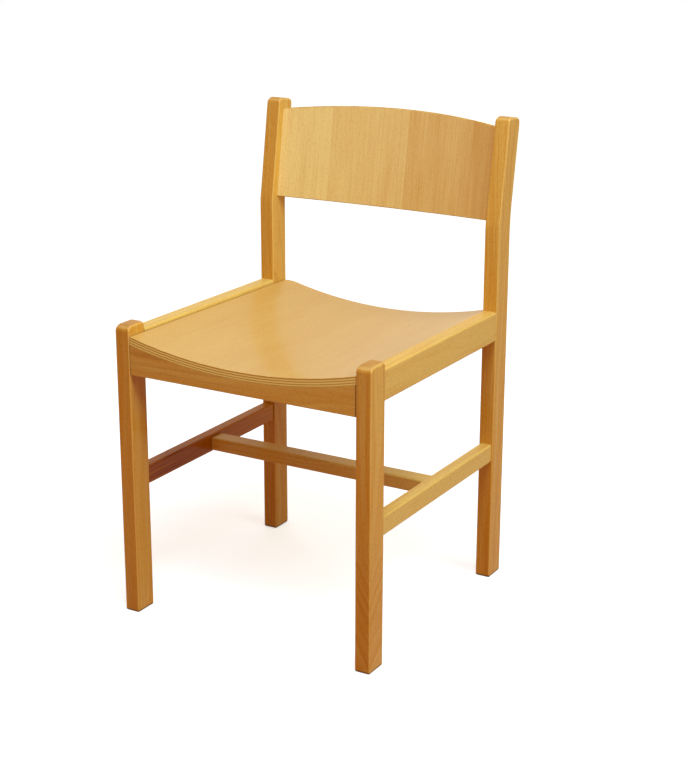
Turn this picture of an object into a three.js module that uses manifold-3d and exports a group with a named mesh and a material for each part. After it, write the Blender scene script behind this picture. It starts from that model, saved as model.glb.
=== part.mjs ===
// A hall side chair in lacquered beech: two front legs, two raked rear posts, rails and
// stretchers joined with dowels, a dished plywood seat and a curved plywood back let into the posts.
// Millimetres, +Z up, the chair faces -Y. The frame's origin is the middle of the footprint, on the floor.

import * as THREE from "three";
import { mergeVertices } from "three/addons/utils/BufferGeometryUtils.js";
import Module from "manifold-3d";

const wasm = await Module();
wasm.setup();

// Overall frame
const frameWidth = 440;
const frameDepth = 440;

// Legs and posts: the same sawn section, eased along the arrises
const legWidth = 25;
const legDepth = 40;
const legEase = 2.5;
const cornerAllowance = 0.5;
const frontLegStand = 12;
const frontLegFrontRadius = 10.5;

// Rake of the rear posts above the seat
const rakeAngle = THREE.MathUtils.degToRad(9);
const bendAboveSeat = 161.6;
const rearBendRise = 7;
const frontBendRadius = 80;
const rearBendRadius = 300;
const rakedLength = 169.5;
const postTopRadius = 9;

// Side rails, between the legs and the posts
const sideRailThickness = 24;
const sideRailHeight = 48;
const sideRailFrontStand = 4.5;
const sideRailRearStand = 6.2;
const railEase = 2.5;

// Seat panel: moulded plywood, hollow along its middle and falling to the rear
const seatThickness = 12;
const seatFrontHollowRadius = 787;
const seatRearHollowRadius = 730;
const seatMiddleHeight = 425.4;
const seatFallAngle = THREE.MathUtils.degToRad(0.86);
const seatFrontSetback = 1;
const seatRearOverhang = 5;
const seatRearCornerRadius = 18;
const seatEdgeEase = 1.5;

// Front and rear rails, under the ends of the seat
const endRailThickness = 22;
const frontRailSetback = 1;
const rearRailSetback = 1;
const endRailMiddleHeight = 23;
const endRailEase = 1.5;

// Back panel: moulded plywood, hollow to the front, with an arched top edge
const backThickness = 10;
const backHollowRadius = 758;
const backFaceSetback = 13.6;
const backEndHeight = 145;
const backArchRise = 15;
const backTopSetdown = 17;
const backEdgeEase = 1.5;
const grooveDepth = 8;

// Stretchers, low between the legs
const sideStretcherThickness = 20;
const sideStretcherHeight = 30;
const sideStretcherBottom = 202;
const crossStretcherDepth = 30;
const crossStretcherHeight = 22;
const crossStretcherLift = 3;
const crossStretcherFront = 211;
const stretcherEase = 2;

// Corner blocks, glued inside the four corners under the seat
const blockLeg = 46;
const blockTip = 8;
const blockScrewShare = 0.33;
const blockEase = 1;

// Dowels: their diameter, how deep they reach into the rails, their spacing, and the wood left
// between two that cross in a leg, and between a dowel's end and the far side of a leg or stretcher
const dowelDiameter = 8;
const dowelChamfer = 1;
const dowelInRail = 20;
const woodBetweenDowels = 4;
const woodPastDowelInLeg = 9;
const woodPastDowelInStretcher = 8;
const sideRailDowelSpacing = 24;
const endRailDowelSpacing = 22;
const sideStretcherDowelSpacing = 14;
const crossStretcherDowelSpacing = 14;

// Seat screws: up through the blocks into the underside of the seat
const screwShankDiameter = 4;
const screwHeadDiameter = 8;
const screwHeadHeight = 3;
const screwPointLength = 3;
const screwLength = 30;
const screwBite = 8;

// Clearances, and how far a cut runs past what it cuts
const jointGap = 0.3;
const holeGap = 0.3;
const holeEndGap = 0.8;
const cutOverrun = 40;

// Fineness of the round stretches
const arcDivisions = 3;
const easeDivisions = 3;
const turnedSides = 12;
const hollowDivisions = 24;
const cornerDivisions = 5;

// Derived places
const innerHalf = frameWidth / 2 - legWidth;
const legMiddle = frameWidth / 2 - legWidth / 2;
const postFront = frameDepth - legDepth;
const railSpan = postFront - legDepth;
const seatRear = frameDepth + seatRearOverhang;
const frontRailMiddle = frontRailSetback + endRailThickness / 2;
const rearRailMiddle = frameDepth - rearRailSetback - endRailThickness / 2;
const sideRailMiddle = innerHalf + sideRailThickness / 2;
const sideRailFrontTop = seatHeight(innerHalf, legDepth, 0) + sideRailFrontStand;
const sideRailRearTop = seatHeight(innerHalf, postFront, 0) + sideRailRearStand;
const frontLegHeight = sideRailFrontTop + frontLegStand;
const smallCornerRadius = legEase + cornerAllowance;
const frontBendHeight = seatMiddleHeight + bendAboveSeat;
const rearBendHeight = frontBendHeight + rearBendRise;
const postRakedThickness = legDepth * Math.cos(rakeAngle) - rearBendRise * Math.sin(rakeAngle);
const backBottom = rakedLength - backTopSetdown - backEndHeight;
const crossStretcherMiddle = crossStretcherFront + crossStretcherDepth / 2;
const dowelInLegAlong = legDepth - frontRailMiddle - dowelDiameter / 2 - woodBetweenDowels;
const dowelInPostAlong = rearRailMiddle - postFront - dowelDiameter / 2 - woodBetweenDowels;
const dowelInLegAcross = legWidth - woodPastDowelInLeg;
const dowelInSideStretcher = sideStretcherThickness - woodPastDowelInStretcher;

// The radius of the seat's hollow, which tightens to the rear
function seatRadius(y) {
  return seatFrontHollowRadius + (seatRearHollowRadius - seatFrontHollowRadius) * (y / seatRear);
}

// The height of the seat over a place on the floor plan, at a depth below its top face
function seatHeight(x, y, depth) {
  const bend = seatRadius(y) - Math.sqrt((seatRadius(y) + depth) ** 2 - x ** 2);
  return seatMiddleHeight + bend / Math.cos(seatFallAngle) - y * Math.tan(seatFallAngle);
}

const beech = { color: 0xd9a45c, roughness: 0.38, metalness: 0 };
const veneer = { color: 0xe2b271, roughness: 0.32, metalness: 0 };
const dowelWood = { color: 0xc9975a, roughness: 0.7, metalness: 0 };
const steel = { color: 0xa8a9ad, roughness: 0.35, metalness: 1 };

const chair = new THREE.Group();

// Adds a named piece to the chair, with a material of its own
function piece(name, geometry, finish) {
  const mesh = new THREE.Mesh(geometry, new THREE.MeshStandardMaterial(finish));
  mesh.name = name;
  chair.add(mesh);
  return mesh;
}

// The closed geometry as a solid for joining and cutting, moved by the matrix
function solidOf(geometry, matrix) {
  const bare = new THREE.BufferGeometry();
  bare.setAttribute("position", geometry.getAttribute("position").clone());
  bare.setIndex(geometry.index ? geometry.index.clone() : null);
  const merged = mergeVertices(bare.applyMatrix4(matrix));
  const mesh = new wasm.Mesh({
    numProp: 3,
    vertProperties: merged.getAttribute("position").array,
    triVerts: new Uint32Array(merged.index.array),
  });
  return new wasm.Manifold(mesh);
}

function geometryOf(solid) {
  const mesh = solid.getMesh();
  const geometry = new THREE.BufferGeometry();
  geometry.setAttribute("position", new THREE.BufferAttribute(mesh.vertProperties, 3));
  geometry.setIndex(new THREE.BufferAttribute(mesh.triVerts, 1));
  geometry.computeVertexNormals();
  return geometry;
}

// Cuts the placed tool out of the placed piece
function cut(target, tool) {
  target.updateMatrix();
  tool.updateMatrix();
  const toolInTarget = target.matrix.clone().invert().multiply(tool.matrix);
  const body = solidOf(target.geometry, new THREE.Matrix4());
  target.geometry = geometryOf(body.subtract(solidOf(tool.geometry, toolInTarget)));
}

// A closed outline through the corners [x, y, radius], listed anticlockwise, each rounded by its radius
function roundedOutline(corners) {
  const outline = new THREE.Shape();
  corners.forEach(([x, y, radius], i) => {
    const corner = new THREE.Vector2(x, y);
    const before = new THREE.Vector2(...corners.at(i - 1)).sub(corner).normalize();
    const after = new THREE.Vector2(...corners[(i + 1) % corners.length]).sub(corner).normalize();
    const halfAngle = Math.acos(before.dot(after)) / 2;
    const inward = before.clone().add(after).normalize();
    const centre = corner.clone().addScaledVector(inward, radius / Math.sin(halfAngle));
    const start = corner.clone().addScaledVector(before, radius / Math.tan(halfAngle)).sub(centre);
    const end = corner.clone().addScaledVector(after, radius / Math.tan(halfAngle)).sub(centre);
    const clockwise = before.cross(after) > 0;
    outline.absarc(centre.x, centre.y, radius, start.angle(), end.angle(), clockwise);
  });
  return outline;
}

// A board cut to the outline, its thickness centred on zero and all its edges eased
function easedBoard(outline, thickness, ease) {
  const board = new THREE.ExtrudeGeometry(outline, {
    depth: thickness - 2 * ease,
    bevelThickness: ease,
    bevelSize: ease,
    bevelOffset: -ease,
    bevelSegments: easeDivisions,
    curveSegments: arcDivisions,
  });
  return board.translate(0, 0, ease - thickness / 2);
}

// A bar with its long arrises eased and its ends sawn square, centred on zero with its length along Z
function easedBar(thickness, height, length, ease) {
  const section = roundedOutline([
    [-thickness / 2, -height / 2, ease],
    [thickness / 2, -height / 2, ease],
    [thickness / 2, height / 2, ease],
    [-thickness / 2, height / 2, ease],
  ]);
  const bar = new THREE.ExtrudeGeometry(section, {
    depth: length,
    bevelEnabled: false,
    curveSegments: arcDivisions,
  });
  return bar.translate(0, 0, -length / 2);
}

// Turns a piece drawn in X and Y to stand in Y and Z, with its Z along X
function standSideways(board) {
  const alongX = new THREE.Vector3(1, 0, 0);
  const alongY = new THREE.Vector3(0, 1, 0);
  const alongZ = new THREE.Vector3(0, 0, 1);
  return board.applyMatrix4(new THREE.Matrix4().makeBasis(alongY, alongZ, alongX));
}

// Turns a piece drawn in X and Y to stand in X and Z, with its Z along Y
function standUpright(board) {
  return board.rotateX(Math.PI / 2);
}

// Stations across a panel, closer together where its corners are rounded
function stationsAcross(half, cornerRadius) {
  const straight = half - cornerRadius;
  const stations = [];
  for (let i = 0; i <= hollowDivisions; i += 1) {
    stations.push(straight * (2 * i / hollowDivisions - 1));
  }
  for (let i = 1; i <= cornerDivisions && cornerRadius > 0; i += 1) {
    const x = straight + cornerRadius * Math.sin((Math.PI / 2) * (i / cornerDivisions));
    stations.push(x);
    stations.unshift(-x);
  }
  return stations;
}

// A panel bent to a hollow about an axis along Y: it spans X between the stations and Y between the
// limits at each station, and its hollow face touches Z = 0 at the middle. Its edges are eased.
function hollowPanel({ stations, limits, radiusAt, thickness, ease }) {
  const points = [];
  for (const x of stations) {
    const [low, high] = limits(x);
    const centres = [
      [high - ease, thickness - ease],
      [low + ease, thickness - ease],
      [low + ease, ease],
      [high - ease, ease],
    ];
    centres.forEach(([centreY, centreDepth], corner) => {
      for (let i = 0; i <= easeDivisions; i += 1) {
        const angle = (Math.PI / 2) * (corner + i / easeDivisions);
        const y = centreY + ease * Math.cos(angle);
        const depth = centreDepth + ease * Math.sin(angle);
        const radius = radiusAt(y);
        points.push(x, y, radius - Math.sqrt((radius + depth) ** 2 - x ** 2));
      }
    });
  }
  const faces = [];
  const count = 4 * (easeDivisions + 1);
  for (let s = 0; s + 1 < stations.length; s += 1) {
    for (let i = 0; i < count; i += 1) {
      const a = s * count + i;
      const b = s * count + ((i + 1) % count);
      faces.push(a, a + count, b, b, a + count, b + count);
    }
  }
  const last = (stations.length - 1) * count;
  for (let i = 1; i + 1 < count; i += 1) {
    faces.push(0, i, i + 1, last, last + i + 1, last + i);
  }
  const geometry = new THREE.BufferGeometry();
  geometry.setAttribute("position", new THREE.Float32BufferAttribute(points, 3));
  geometry.setIndex(faces);
  geometry.computeVertexNormals();
  return geometry;
}

// A chamfered dowel along Y, or the hole for it when it is made larger by the gaps
function dowelGeometry(length, gap, endGap) {
  const radius = dowelDiameter / 2 + gap;
  const half = length / 2 + endGap;
  const profile = [
    new THREE.Vector2(0, -half),
    new THREE.Vector2(radius - dowelChamfer, -half),
    new THREE.Vector2(radius, dowelChamfer - half),
    new THREE.Vector2(radius, half - dowelChamfer),
    new THREE.Vector2(radius - dowelChamfer, half),
    new THREE.Vector2(0, half),
  ];
  return new THREE.LatheGeometry(profile, turnedSides);
}

// A countersunk screw along Y with its head's flat face at zero, or its hole when it is made larger
function screwGeometry(length, gap) {
  const shank = screwShankDiameter / 2 + gap;
  const head = screwHeadDiameter / 2 + gap;
  const profile = [
    new THREE.Vector2(0, -gap),
    new THREE.Vector2(head, -gap),
    new THREE.Vector2(shank, screwHeadHeight + gap),
    new THREE.Vector2(shank, length - screwPointLength + gap),
    new THREE.Vector2(0, length + gap),
  ];
  return new THREE.LatheGeometry(profile, turnedSides);
}

// Sets a dowel across the joint between two pieces. The joint lies at the place given, the dowel
// runs along the axis, and it reaches its two depths into the first and the second piece.
function dowelJoint(name, place, axis, depths, pieces) {
  const length = depths[0] + depths[1];
  const pin = piece(name, dowelGeometry(length - 2 * holeEndGap, 0, 0), dowelWood);
  pin.position.copy(place).addScaledVector(axis, (depths[1] - depths[0]) / 2);
  pin.quaternion.setFromUnitVectors(new THREE.Vector3(0, 1, 0), axis);
  const hole = new THREE.Mesh(dowelGeometry(length - 2 * holeEndGap, holeGap, holeEndGap));
  hole.position.copy(pin.position);
  hole.quaternion.copy(pin.quaternion);
  pieces.forEach((joined) => cut(joined, hole));
}

// The four uprights
function frontLegOutline() {
  return roundedOutline([
    [0, 0, smallCornerRadius],
    [legDepth, 0, smallCornerRadius],
    [legDepth, frontLegHeight, smallCornerRadius],
    [0, frontLegHeight, frontLegFrontRadius],
  ]);
}

function rearPostOutline() {
  const topFrontY = rakedLength * Math.sin(rakeAngle);
  const topFrontZ = frontBendHeight + rakedLength * Math.cos(rakeAngle);
  const topBackY = topFrontY + postRakedThickness * Math.cos(rakeAngle);
  const topBackZ = topFrontZ - postRakedThickness * Math.sin(rakeAngle);
  return roundedOutline([
    [0, 0, smallCornerRadius],
    [legDepth, 0, smallCornerRadius],
    [legDepth, rearBendHeight, rearBendRadius],
    [topBackY, topBackZ, postTopRadius],
    [topFrontY, topFrontZ, postTopRadius],
    [0, frontBendHeight, frontBendRadius],
  ]);
}

// Side rails, falling a little to the rear between upright ends
function sideRailGeometry() {
  const slope = (sideRailRearTop - sideRailFrontTop) / railSpan;
  const fall = new THREE.Matrix4().set(
    1, 0, 0, 0,
    0, 1, 0, 0,
    0, slope, 1, 0,
    0, 0, 0, 1,
  );
  const bar = easedBar(sideRailThickness, sideRailHeight, railSpan - 2 * jointGap, railEase);
  return standUpright(bar).applyMatrix4(fall);
}

const sides = [["left", -1], ["right", 1]];
const frame = {};

for (const [side, sign] of sides) {
  const leg = piece(
    `front_leg_${side}`,
    standSideways(easedBoard(frontLegOutline(), legWidth, legEase)),
    beech,
  );
  leg.position.set(sign * legMiddle, 0, 0);

  const post = piece(
    `rear_post_${side}`,
    standSideways(easedBoard(rearPostOutline(), legWidth, legEase)),
    beech,
  );
  post.position.set(sign * legMiddle, postFront, 0);

  const rail = piece(`side_rail_${side}`, sideRailGeometry(), beech);
  rail.position.set(
    sign * sideRailMiddle,
    legDepth + railSpan / 2,
    (sideRailFrontTop + sideRailRearTop) / 2 - sideRailHeight / 2,
  );

  const stretcher = piece(
    `side_stretcher_${side}`,
    standUpright(
      easedBar(
        sideStretcherThickness,
        sideStretcherHeight,
        railSpan - 2 * jointGap,
        stretcherEase,
      ),
    ),
    beech,
  );
  stretcher.position.set(
    sign * legMiddle,
    legDepth + railSpan / 2,
    sideStretcherBottom + sideStretcherHeight / 2,
  );
  frame[side] = { leg, post, rail, stretcher };
}

// Cross stretcher, between the side stretchers
const crossHalf = legMiddle - sideStretcherThickness / 2;
const crossStretcher = piece(
  "cross_stretcher",
  standSideways(
    easedBar(
      crossStretcherDepth,
      crossStretcherHeight,
      2 * (crossHalf - jointGap),
      stretcherEase,
    ),
  ),
  beech,
);
crossStretcher.position.set(
  0,
  crossStretcherMiddle,
  sideStretcherBottom + crossStretcherLift + crossStretcherHeight / 2,
);

// Seat panel
const seatHalf = innerHalf - jointGap;

function seatLimits(x) {
  const past = Math.max(0, Math.abs(x) - (seatHalf - seatRearCornerRadius));
  const rounding = seatRearCornerRadius - Math.sqrt(seatRearCornerRadius ** 2 - past ** 2);
  return [seatFrontSetback, seatRear - rounding];
}

const seatPanel = piece(
  "seat_panel",
  hollowPanel({
    stations: stationsAcross(seatHalf, seatRearCornerRadius),
    limits: seatLimits,
    radiusAt: seatRadius,
    thickness: seatThickness,
    ease: seatEdgeEase,
  }),
  veneer,
);
seatPanel.position.set(0, 0, seatMiddleHeight);
seatPanel.rotation.x = -seatFallAngle;

// The space above the seat's underside, which the rails and blocks below it are shaped to
const seatRise = seatHeight(innerHalf, seatRear, 0) - seatHeight(0, seatRear, 0);
const spaceAbove = seatRise + seatRear * Math.tan(seatFallAngle) + seatThickness + cutOverrun;
const seatSpace = new THREE.Mesh(
  hollowPanel({
    stations: stationsAcross(frameWidth / 2, 0),
    limits: () => [-cutOverrun, seatRear + cutOverrun],
    radiusAt: (y) => seatRadius(y) - spaceAbove,
    thickness: seatThickness + jointGap + spaceAbove,
    ease: jointGap,
  }),
);
seatSpace.position.copy(seatPanel.position);
seatSpace.rotation.copy(seatPanel.rotation);
seatSpace.translateZ(spaceAbove);

// Front and rear rails, their top edges shaped to the seat
function endRail(name, middle) {
  const top = seatHeight(innerHalf, middle, seatThickness) + jointGap;
  const bottom = endRailBottom(middle);
  const rail = piece(
    name,
    standSideways(
      easedBar(endRailThickness, top - bottom, 2 * (innerHalf - jointGap), endRailEase),
    ),
    beech,
  );
  rail.position.set(0, middle, (top + bottom) / 2);
  cut(rail, seatSpace);
  return rail;
}

function endRailBottom(middle) {
  return seatHeight(0, middle, seatThickness) - jointGap - endRailMiddleHeight;
}

const frontRail = endRail("front_rail", frontRailMiddle);
const rearRail = endRail("rear_rail", rearRailMiddle);

// Back panel, raked with the posts, its ends let into grooves in them
const backHalf = innerHalf + grooveDepth - jointGap;
const backHollow = backHollowRadius - Math.sqrt(backHollowRadius ** 2 - innerHalf ** 2);
const backMiddleSetback = backFaceSetback + backHollow;
const archRadius = (innerHalf ** 2 + backArchRise ** 2) / (2 * backArchRise);

function backLimits(x) {
  const arch = backArchRise - archRadius + Math.sqrt(archRadius ** 2 - x ** 2);
  return [backBottom, backBottom + backEndHeight + arch];
}

const backPanel = piece(
  "back_panel",
  hollowPanel({
    stations: stationsAcross(backHalf, 0),
    limits: backLimits,
    radiusAt: () => backHollowRadius,
    thickness: backThickness,
    ease: backEdgeEase,
  }),
  veneer,
);
backPanel.position.set(
  0,
  postFront + backMiddleSetback * Math.cos(rakeAngle),
  frontBendHeight - backMiddleSetback * Math.sin(rakeAngle),
);
backPanel.rotation.x = Math.PI / 2 - rakeAngle;

const groove = new THREE.Mesh(
  hollowPanel({
    stations: stationsAcross(backHalf + jointGap, 0),
    limits: (x) => [backLimits(x)[0] - jointGap, backLimits(x)[1] + jointGap],
    radiusAt: () => backHollowRadius - jointGap,
    thickness: backThickness + 2 * jointGap,
    ease: backEdgeEase,
  }),
);
groove.position.copy(backPanel.position);
groove.rotation.copy(backPanel.rotation);
groove.translateZ(jointGap);
sides.forEach(([side]) => cut(frame[side].post, groove));

// Corner blocks, and the screw up through each of them into the seat
const ends = [
  ["front", 1, frontRailMiddle + endRailThickness / 2],
  ["rear", -1, rearRailMiddle - endRailThickness / 2],
];

for (const [side, sign] of sides) {
  for (const [end, inward, railFace] of ends) {
    const cornerX = sign * (innerHalf - jointGap);
    const cornerY = railFace + inward * jointGap;
    const screwX = cornerX - sign * blockScrewShare * blockLeg;
    const screwY = cornerY + inward * blockScrewShare * blockLeg;
    const bottom = seatHeight(screwX, screwY, seatThickness) + screwBite - screwLength;
    const top = seatHeight(innerHalf, 0, seatThickness) + jointGap;
    const outline = new THREE.Shape();
    outline.moveTo(0, 0);
    outline.lineTo(-sign * blockLeg, 0);
    outline.lineTo(-sign * blockLeg, inward * blockTip);
    outline.lineTo(-sign * blockTip, inward * blockLeg);
    outline.lineTo(0, inward * blockLeg);
    const block = piece(
      `corner_block_${end}_${side}`,
      easedBoard(outline, top - bottom, blockEase),
      beech,
    );
    block.position.set(cornerX, cornerY, (top + bottom) / 2);
    cut(block, seatSpace);

    const screw = piece(`seat_screw_${end}_${side}`, screwGeometry(screwLength, 0), steel);
    screw.position.set(screwX, screwY, bottom);
    screw.rotation.x = Math.PI / 2;
    const hole = new THREE.Mesh(screwGeometry(screwLength, holeGap));
    hole.position.copy(screw.position);
    hole.rotation.copy(screw.rotation);
    cut(block, hole);
    cut(seatPanel, hole);
  }
}

// Dowels, two to each joint
const pairs = [["upper", 1], ["lower", -1]];
const alongDepth = new THREE.Vector3(0, 1, 0);

for (const [side, sign] of sides) {
  const { leg, post, rail, stretcher } = frame[side];
  const outward = new THREE.Vector3(sign, 0, 0);

  for (const [level, step] of pairs) {
    const endRails = [
      ["front", frontRail, leg, frontRailMiddle],
      ["rear", rearRail, post, rearRailMiddle],
    ];
    for (const [end, endRailPiece, upright, middle] of endRails) {
      const railMiddle = (endRailBottom(middle) + seatHeight(innerHalf, middle, seatThickness)) / 2;
      const height = railMiddle + step * endRailDowelSpacing / 2;
      dowelJoint(
        `${end}_rail_dowel_${side}_${level}`,
        new THREE.Vector3(sign * innerHalf, middle, height),
        outward,
        [dowelInRail, dowelInLegAcross],
        [endRailPiece, upright],
      );
    }

    const sideRailEnds = [
      ["front", legDepth, sideRailFrontTop, [dowelInLegAlong, dowelInRail], leg],
      ["rear", postFront, sideRailRearTop, [dowelInRail, dowelInPostAlong], post],
    ];
    for (const [end, y, top, depths, upright] of sideRailEnds) {
      const railHeight = top - sideRailHeight / 2 + step * sideRailDowelSpacing / 2;
      dowelJoint(
        `side_rail_dowel_${side}_${end}_${level}`,
        new THREE.Vector3(sign * sideRailMiddle, y, railHeight),
        alongDepth,
        depths,
        [rail, upright],
      );
      const stretcherHeight = stretcher.position.z + step * sideStretcherDowelSpacing / 2;
      dowelJoint(
        `side_stretcher_dowel_${side}_${end}_${level}`,
        new THREE.Vector3(sign * legMiddle, y, stretcherHeight),
        alongDepth,
        depths,
        [stretcher, upright],
      );
    }
  }

  for (const [place, step] of [["front", -1], ["rear", 1]]) {
    const y = crossStretcherMiddle + step * crossStretcherDowelSpacing / 2;
    dowelJoint(
      `cross_stretcher_dowel_${side}_${place}`,
      new THREE.Vector3(sign * crossHalf, y, crossStretcher.position.z),
      outward,
      [dowelInRail, dowelInSideStretcher],
      [crossStretcher, stretcher],
    );
  }
}

// The footprint's middle becomes the origin
const bounds = new THREE.Box3().setFromObject(chair, true);
chair.position.y = -(bounds.min.y + bounds.max.y) / 2;

const part = new THREE.Group();
part.add(chair);

export default part;
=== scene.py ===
# A hall side chair in lacquered beech, with a moulded plywood seat and back.
# Metres, +Z up, the chair faces -Y. Left and right are the viewer's, from the front.

import math

import bpy
from mathutils import Matrix, Vector


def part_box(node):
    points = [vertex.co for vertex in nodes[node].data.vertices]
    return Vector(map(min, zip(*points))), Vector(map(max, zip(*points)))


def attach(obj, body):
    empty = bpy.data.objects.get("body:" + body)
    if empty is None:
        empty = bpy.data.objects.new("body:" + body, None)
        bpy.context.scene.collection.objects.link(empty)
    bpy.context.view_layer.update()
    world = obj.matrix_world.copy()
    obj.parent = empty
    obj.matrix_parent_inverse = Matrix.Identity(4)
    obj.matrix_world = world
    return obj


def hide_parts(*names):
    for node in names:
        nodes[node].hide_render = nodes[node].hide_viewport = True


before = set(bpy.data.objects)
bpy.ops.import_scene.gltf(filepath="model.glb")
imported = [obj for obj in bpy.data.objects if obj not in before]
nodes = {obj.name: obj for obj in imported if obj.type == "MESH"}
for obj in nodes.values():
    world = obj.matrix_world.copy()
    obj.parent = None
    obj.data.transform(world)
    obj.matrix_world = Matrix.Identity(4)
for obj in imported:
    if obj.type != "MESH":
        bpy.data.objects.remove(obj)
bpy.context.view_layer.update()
mm = 0.001
print("frame loaded:", len(nodes), "nodes")


# Colours are written as sRGB hex and turned to linear here
def linear(hexColour):
    channels = [int(hexColour[i:i + 2], 16) / 255 for i in (1, 3, 5)]
    bent = [c / 12.92 if c <= 0.04045 else ((c + 0.055) / 1.055) ** 2.4 for c in channels]
    return (*bent, 1)


# Adds a shader node. Settings are the node's own values. Inputs are values to set, sockets to link,
# or nodes, whose first output is linked.
def addNode(tree, kind, settings=None, inputs=None):
    node = tree.nodes.new("ShaderNode" + kind)
    for name, value in (settings or {}).items():
        setattr(node, name, value)
    for name, value in (inputs or {}).items():
        if isinstance(value, bpy.types.Node):
            value = value.outputs[0]
        if isinstance(value, bpy.types.NodeSocket):
            tree.links.new(value, node.inputs[name])
        else:
            node.inputs[name].default_value = value
    return node


def newMaterial(name):
    material = bpy.data.materials.new(name)
    material.use_nodes = True
    material.node_tree.nodes.clear()
    return material, material.node_tree


# Camera: the photograph's place, direction and angle of view
camera = {
    "place": (1.29109, -2.14681, 1.13447),
    "yaw": math.radians(30.288),      # turned from +Y towards -X
    "pitch": math.radians(17.526),    # looking down
    "roll": math.radians(0.119),
    "lens": 78.552,                   # mm
    "longSide": 36,                   # mm, of the film
    "farthest": 100,
}


def addCamera(view):
    lens = bpy.data.cameras.new("camera")
    lens.sensor_width = view["longSide"]
    lens.lens = view["lens"]
    lens.clip_end = view["farthest"]
    eye = bpy.data.objects.new("camera", lens)
    bpy.context.scene.collection.objects.link(eye)
    turn = Matrix.Rotation(view["yaw"], 4, "Z") @ Matrix.Rotation(math.pi / 2 - view["pitch"], 4, "X")
    eye.matrix_world = Matrix.Translation(view["place"]) @ turn @ Matrix.Rotation(view["roll"], 4, "Z")
    bpy.context.scene.camera = eye


addCamera(camera)
print("camera placed")

# Nearly all values of Blender's noise lie between these
noiseLow = 0.3
noiseHigh = 0.7
smoothly = {"interpolation_type": "SMOOTHSTEP"}


def placeInMillimetres(tree):
    place = addNode(tree, "TexCoord")
    return addNode(tree, "VectorMath", {"operation": "SCALE"},
                   {"Vector": place.outputs["Object"], "Scale": 1 / mm})


# Noise with a scale of its own along each axis, in waves per mm
def scaledNoise(tree, place, scale, detail, roughness=0.5):
    stretched = addNode(tree, "VectorMath", {"operation": "MULTIPLY"}, {0: place, 1: scale})
    return addNode(tree, "TexNoise", None,
                   {"Vector": stretched, "Scale": 1, "Detail": detail, "Roughness": roughness})


# How noises change the tone, each by up to its share either way
def grainTone(tree, noises):
    change = 0
    for noise, share in noises:
        tone = addNode(tree, "MapRange", None,
                       {"Value": noise, "From Min": noiseLow, "From Max": noiseHigh,
                        "To Min": -share, "To Max": share})
        change = addNode(tree, "Math", {"operation": "ADD"}, {0: tone, 1: change})
    return change


# Ray flecks: short dark dashes, one in some of the cells. Density is the cells per mm.
def rayFlecks(tree, look, place, density):
    cells = addNode(tree, "VectorMath", {"operation": "MULTIPLY"}, {0: place, 1: density})
    rays = addNode(tree, "TexVoronoi", {"feature": "F1"}, {"Vector": cells, "Scale": 1})
    rim, core = look["fleckRim"]
    return addNode(tree, "MapRange", smoothly,
                   {"Value": rays.outputs["Distance"], "From Min": rim, "From Max": core,
                    "To Max": look["fleckShare"]})


# Lays colours over the first one, each by its share, and gives them their relief and gloss. Inputs 6
# and 7 of a Mix node and its output 2 are its colours.
def addFinish(tree, look, colour, layers, relief=None):
    for share, over in layers:
        mixed = addNode(tree, "Mix", {"data_type": "RGBA"}, {0: share, 6: colour, 7: linear(over)})
        colour = mixed.outputs[2]
    surface = addNode(tree, "BsdfPrincipled", None, {"Base Color": colour, **look["gloss"]})
    if relief:
        strength, depth = look["relief"]
        bump = addNode(tree, "Bump", None, {"Height": relief, "Strength": strength, "Distance": depth})
        tree.links.new(bump.outputs[0], surface.inputs["Normal"])
    addNode(tree, "OutputMaterial", None, {"Surface": surface})


# Lacquered solid beech, planed and sanded, then sprayed with clear lacquer: a warm orange-tan wood
# with faint growth rings, fine dark ray flecks along the grain, darker end grain, a soft clear gloss,
# and a painted highlight along the eased arrises.
beech = {
    "name": "lacqueredSolidBeech",
    "pale": "#EED57C",
    "warm": "#DB9F2A",
    "deep": "#964A08",            # the red-brown of boards from near the heart, which on the left stretcher in part paints in shade
    "radialPaler": 0.24,          # how much paler the faces are that show the rays on end, in part painted paler light on the sides lit from the right
    "late": "#A2601A",            # the dark line that ends each year's growth
    "lateShare": (0.05, 0.32),    # where the figure is quiet, and where it is bold
    "lateSharpness": 5,
    "ringWidth": 5,               # mm; twice the real width, to show
    "taper": 0.02,                # how fast the trunk narrows, which draws arches on flat-sawn boards
    "wander": 14,                 # mm, how far the rings stray from true circles
    "wanderScale": (0.006, 0.022, 0.022),   # waves per mm, along the grain and across it
    "boldScale": (0.005, 0.01, 0.01),
    "boldNoise": (0.4, 0.65),     # where the figure starts to be bold, and where it is fully
    "figureScale": (0.0016, 0.16, 0),       # along the grain, and out from the heart
    "figureShare": 0.25,          # how far bands of several years change the tone
    "streakWidth": 1.8,           # mm; real fibres are finer and wouldn't show at this size
    "streakLength": 70,           # mm
    "streakShare": 0.13,
    "fleck": "#985C1C",
    "fleckShare": 0.3,
    "fleckRim": (0.42, 0.12),     # where a fleck starts and where it is full, in cells from its middle
    "fleckLength": 3.2,           # mm; real flecks are 1 to 4 mm long
    "fleckWidth": 0.7,            # mm; twice the real width, to show
    "arris": "#FFE7A0",           # painted highlight along the eased arrises
    "arrisShare": 0.38,
    "arrisTurn": (0.93, 0.78),    # how squarely a face lies where the painted highlight starts, and where it is full
    "endGrain": "#B48C62",
    "endGrainShare": 0.5,
    "endGrainTurn": (0.5, 0.95),
    "dirt": "#47290B",            # dirt and painted shade: floor dirt and painted contact shade on the feet's lowest edge, dirt of years and painted shade in the joints
    "dirtShare": 0.65,
    "dirtFull": 0.6,              # of its reach: from the end to here it is full
    "relief": (0.12, 0.05 * mm),  # strength, and depth
    "gloss": {
        "Roughness": 0.5,
        "Specular IOR Level": 0.05,
        "IOR": 1.5,
        "Coat Weight": 0.16,
        "Coat Roughness": 0.16,
    },
}
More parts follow.
